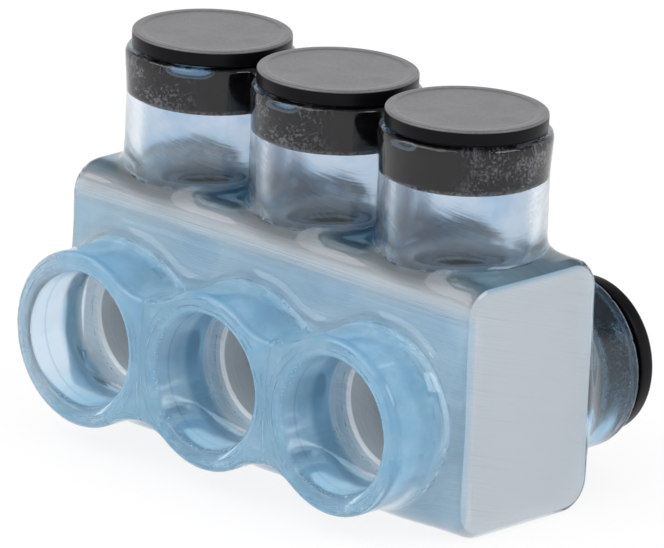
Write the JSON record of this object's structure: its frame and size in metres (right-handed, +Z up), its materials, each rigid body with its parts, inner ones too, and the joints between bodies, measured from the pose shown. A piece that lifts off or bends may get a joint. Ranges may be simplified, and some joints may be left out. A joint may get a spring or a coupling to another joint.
{
  "type": "insulated multi-tap connector",
  "caption": "Insulated multi-tap connector: a drilled and tapped metal block in a clear blue moulded cover, with set screws under black plugs and collars for conductors.",
  "frame": {"origin": "centre of the cover's flat underside", "axes": "+X along the row of ports, +Z up through the towers, -Y out of the open front collars"},
  "size_m": [0.0858, 0.0585, 0.0622],
  "materials": {
    "block_metal": "satin, sawn ends",
    "clear_vinyl": "clear, pale blue, glossy",
    "screw_metal": "turned",
    "black_plug": "satin"
  },
  "bodies": {
    "housing": {"terminal_block": "block_metal", "insulating_cover": "clear_vinyl"},
    "screw_1": {"set_screw_1": "screw_metal"},
    "screw_2": {"set_screw_2": "screw_metal"},
    "screw_3": {"set_screw_3": "screw_metal"},
    "access_plug_body_1": {"access_plug_1": "black_plug"},
    "access_plug_body_2": {"access_plug_2": "black_plug"},
    "access_plug_body_3": {"access_plug_3": "black_plug"},
    "rear_plug_body_1": {"rear_port_plug_1": "black_plug"},
    "rear_plug_body_2": {"rear_port_plug_2": "black_plug"},
    "rear_plug_body_3": {"rear_port_plug_3": "black_plug"}
  },
  "joints": [
    {"name": "set_screw_1_travel", "type": "slide", "parent": "housing", "child": "screw_1", "axis": [0, 0, -1], "range_m": [0, 0.008]},
    {"name": "set_screw_2_travel", "type": "slide", "parent": "housing", "child": "screw_2", "axis": [0, 0, -1], "range_m": [0, 0.008]},
    {"name": "set_screw_3_travel", "type": "slide", "parent": "housing", "child": "screw_3", "axis": [0, 0, -1], "range_m": [0, 0.008]},
    {"name": "access_plug_1_pull", "type": "slide", "parent": "housing", "child": "access_plug_body_1", "axis": [0, 0, 1], "range_m": [0, 0.012]},
    {"name": "access_plug_2_pull", "type": "slide", "parent": "housing", "child": "access_plug_body_2", "axis": [0, 0, 1], "range_m": [0, 0.012]},
    {"name": "access_plug_3_pull", "type": "slide", "parent": "housing", "child": "access_plug_body_3", "axis": [0, 0, 1], "range_m": [0, 0.012]},
    {"name": "rear_plug_1_pull", "type": "slide", "parent": "housing", "child": "rear_plug_body_1", "axis": [0, 1, 0], "range_m": [-0.0023, 0.012]},
    {"name": "rear_plug_2_pull", "type": "slide", "parent": "housing", "child": "rear_plug_body_2", "axis": [0, 1, 0], "range_m": [-0.0023, 0.012]},
    {"name": "rear_plug_3_pull", "type": "slide", "parent": "housing", "child": "rear_plug_body_3", "axis": [0, 1, 0], "range_m": [-0.0023, 0.012]}
  ]
}
